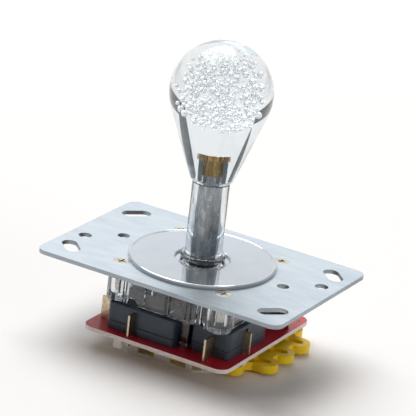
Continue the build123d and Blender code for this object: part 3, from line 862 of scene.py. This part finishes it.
@dataclass
class Studio:
    """White sweep, two grey cards, a broad lamp overhead, a small side lamp and the camera."""

    floor_m: float = 6.0
    floor_colour: str = "#fbfaf9"
    sweep_fill_colour: str = "#b2b3b4"
    room_fill_colour: str = "#48341f"
    sweep_colour: str = "#ffffff"
    room_colour: str = "#b8b6b4"
    sweep_span: tuple[float, float] = (-0.45, 0.15)
    sweep_turn_deg: float = 44.0
    sweep_drop_deg: float = 15.0
    flag_colour: str = "#5a6065"
    flag_sides_m: tuple[float, float] = (-0.19, 0.165)
    flag_foot_m: float = 0.07
    flag_height_m: float = 0.06
    flag_length_m: float = 0.44
    flag_shift_m: float = 0.08
    lamp_size_m: float = 2.2
    lamp_power_w: float = 71.0
    lamp_place_m: tuple[float, float, float] = (-0.85, 0.75, 2.40)
    side_lamp_size_m: float = 0.35
    side_lamp_power_w: float = 0.9
    side_lamp_place_m: tuple[float, float, float] = (0.56, -0.10, 0.10)
    camera_clip_m: float = 0.01
    picture_px: int = 416
    sensor_mm: float = 36.0
    focal_px: float = 2897.85
    turn_deg: float = 28.08
    height_deg: float = 20.80
    roll_deg: float = 6.54
    distance_mm: float = 1092.0
    aim_mm: tuple[float, float, float] = (-25.30, 47.18, 0.0)

    def build(self) -> None:
        """Set up the floor, the cards, the light and the camera."""
        self.lay_floor()
        self.stand_flags()
        self.light_room()
        self.hang_lamp("overhead_softbox", self.lamp_size_m, self.lamp_power_w, self.lamp_place_m)
        side = self.hang_lamp(
            "side_fill", self.side_lamp_size_m, self.side_lamp_power_w, self.side_lamp_place_m
        )
        side.visible_glossy = side.visible_transmission = False
        self.place_camera()
        bpy.context.scene.view_settings.view_transform = "Standard"

    def lay_floor(self) -> None:
        """Lay a white paper floor that keeps the shadow."""
        bpy.ops.object.select_all(action="DESELECT")
        bpy.ops.mesh.primitive_plane_add(size=self.floor_m, location=(0, 0, CAD_BOX[0].z))
        floor = bpy.context.object
        floor.name = "floor"
        material = bpy.data.materials.new("white_sweep")
        material.use_nodes = True
        tree = material.node_tree
        tree.nodes.clear()
        paper = add_node(tree, "ShaderNodeBsdfDiffuse", {"Color": linear(self.floor_colour)})
        add_node(tree, "ShaderNodeOutputMaterial", links={"Surface": paper.outputs[0]})
        floor.data.materials.append(material)

    def stand_flags(self) -> None:
        """Stand a grey card on each side, out of sight, that draws the clear knob's dark edges."""
        material = bpy.data.materials.new("grey_card")
        material.use_nodes = True
        tree = material.node_tree
        tree.nodes.clear()
        card = add_node(
            tree, "ShaderNodeEmission", {"Color": linear(self.flag_colour), "Strength": 1.0}
        )
        add_node(tree, "ShaderNodeOutputMaterial", links={"Surface": card.outputs[0]})
        upright = Matrix.Rotation(radians(self.turn_deg), 4, "Z") @ Matrix.Rotation(pi / 2, 4, "Y")
        for aside in self.flag_sides_m:
            bpy.ops.object.select_all(action="DESELECT")
            bpy.ops.mesh.primitive_plane_add(size=1.0)
            flag = bpy.context.object
            flag.name = "grey_card"
            turn = Matrix.Rotation(radians(self.turn_deg), 3, "Z")
            middle = turn @ Vector((aside, self.flag_shift_m, 0))
            middle.z = CAD_BOX[0].z + self.flag_foot_m + self.flag_height_m / 2
            size = Matrix.Diagonal((self.flag_height_m, self.flag_length_m, 1.0, 1.0))
            flag.data.transform(Matrix.Translation(middle) @ upright @ size)
            flag.data.materials.append(material)
            flag.visible_camera = flag.visible_diffuse = flag.visible_shadow = False

    def seen_rays(self, tree: bpy.types.NodeTree, path: bpy.types.Node) -> bpy.types.NodeSocket:
        """Tell camera, glossy and transmission rays from the rest.

        Args:
            tree: The node tree to add to.
            path: Its Light Path node.

        Returns:
            A socket that is 1 for those rays and 0 for others.
        """
        shine = add_node(
            tree,
            "ShaderNodeMath",
            {"operation": "MAXIMUM"},
            {0: path.outputs["Is Glossy Ray"], 1: path.outputs["Is Transmission Ray"]},
        )
        seen = add_node(
            tree,
            "ShaderNodeMath",
            {"operation": "MAXIMUM"},
            {0: path.outputs["Is Camera Ray"], 1: shine.outputs[0]},
        )
        return seen.outputs[0]

    def light_room(self) -> None:
        """Fill the room: a white sweep behind, a dim room in front, all white to the camera."""
        world = bpy.data.worlds.new("studio_room")
        bpy.context.scene.world = world
        world.use_nodes = True
        tree = world.node_tree
        tree.nodes.clear()
        turn, drop = radians(self.sweep_turn_deg), radians(self.sweep_drop_deg)
        sweep_way = (-sin(turn) * cos(drop), cos(turn) * cos(drop), -sin(drop))
        place = add_node(tree, "ShaderNodeTexCoord")
        facing = add_node(
            tree,
            "ShaderNodeVectorMath",
            {"operation": "DOT_PRODUCT", 1: sweep_way},
            {0: place.outputs["Generated"]},
        )
        sweep = add_node(
            tree,
            "ShaderNodeMapRange",
            {
                "interpolation_type": "SMOOTHSTEP",
                "From Min": self.sweep_span[0],
                "From Max": self.sweep_span[1],
            },
            {"Value": facing.outputs["Value"]},
        )
        path = add_node(tree, "ShaderNodeLightPath")
        seen = self.seen_rays(tree, path)
        white = add_node(
            tree,
            "ShaderNodeMath",
            {"operation": "MAXIMUM"},
            {0: sweep.outputs["Result"], 1: path.outputs["Is Camera Ray"]},
        )
        dim, bright = (
            add_node(
                tree,
                "ShaderNodeMix",
                {"data_type": "RGBA", MIX_A: linear(fill), MIX_B: linear(colour)},
                {0: seen},
            )
            for fill, colour in (
                (self.room_fill_colour, self.room_colour),
                (self.sweep_fill_colour, self.sweep_colour),
            )
        )
        tint = add_node(
            tree,
            "ShaderNodeMix",
            {"data_type": "RGBA"},
            {
                0: white.outputs[0],
                MIX_A: dim.outputs[MIX_COLOUR],
                MIX_B: bright.outputs[MIX_COLOUR],
            },
        )
        shine = add_node(tree, "ShaderNodeBackground", links={"Color": tint.outputs[MIX_COLOUR]})
        add_node(tree, "ShaderNodeOutputWorld", links={"Surface": shine.outputs[0]})

    def hang_lamp(
        self, name: str, size_m: float, power_w: float, place_m: tuple[float, float, float]
    ) -> bpy.types.Object:
        """Hang a square lamp aimed at the middle of the plate.

        Args:
            name: The lamp's name.
            size_m: The length of its side in metres.
            power_w: Its power in watts.
            place_m: Its place in metres.

        Returns:
            The lamp object.
        """
        lamp = bpy.data.lights.new(name, "AREA")
        lamp.shape = "SQUARE"
        lamp.size = size_m
        lamp.energy = power_w
        holder = bpy.data.objects.new(name, lamp)
        bpy.context.scene.collection.objects.link(holder)
        holder.location = place_m
        holder.rotation_euler = (-Vector(place_m)).to_track_quat("-Z", "Y").to_euler()
        return holder

    def place_camera(self) -> None:
        """Place the camera at the photograph's viewing angle."""
        turn, height = radians(self.turn_deg), radians(self.height_deg)
        roll = radians(self.roll_deg)
        back = Vector((sin(turn) * cos(height), -cos(turn) * cos(height), sin(height)))
        level_right = Vector((cos(turn), sin(turn), 0))
        level_up = level_right.cross(-back)
        right = cos(roll) * level_right + sin(roll) * level_up
        up = -sin(roll) * level_right + cos(roll) * level_up
        lens = bpy.data.cameras.new("camera")
        lens.sensor_width = self.sensor_mm
        lens.lens = self.sensor_mm * self.focal_px / self.picture_px
        lens.clip_start = self.camera_clip_m
        camera = bpy.data.objects.new("camera", lens)
        bpy.context.scene.collection.objects.link(camera)
        eye = (Vector(self.aim_mm) + back * self.distance_mm) * MM
        stand = Matrix((right, up, back)).transposed().to_4x4()
        camera.matrix_world = Matrix.Translation(eye) @ stand
        bpy.context.scene.camera = camera


def main() -> None:
    """Build every sub-assembly in order."""
    logging.basicConfig(level=logging.INFO, format="%(name)s: %(message)s")
    kinds = (Knob, Stick, Disc, Plate, Housing, Switches, Board, Gate, Studio)
    for assembly in (kind() for kind in kinds):
        assembly.build()
        LOG.info("%s built", type(assembly).__name__)


if __name__ == "__main__":
    main()
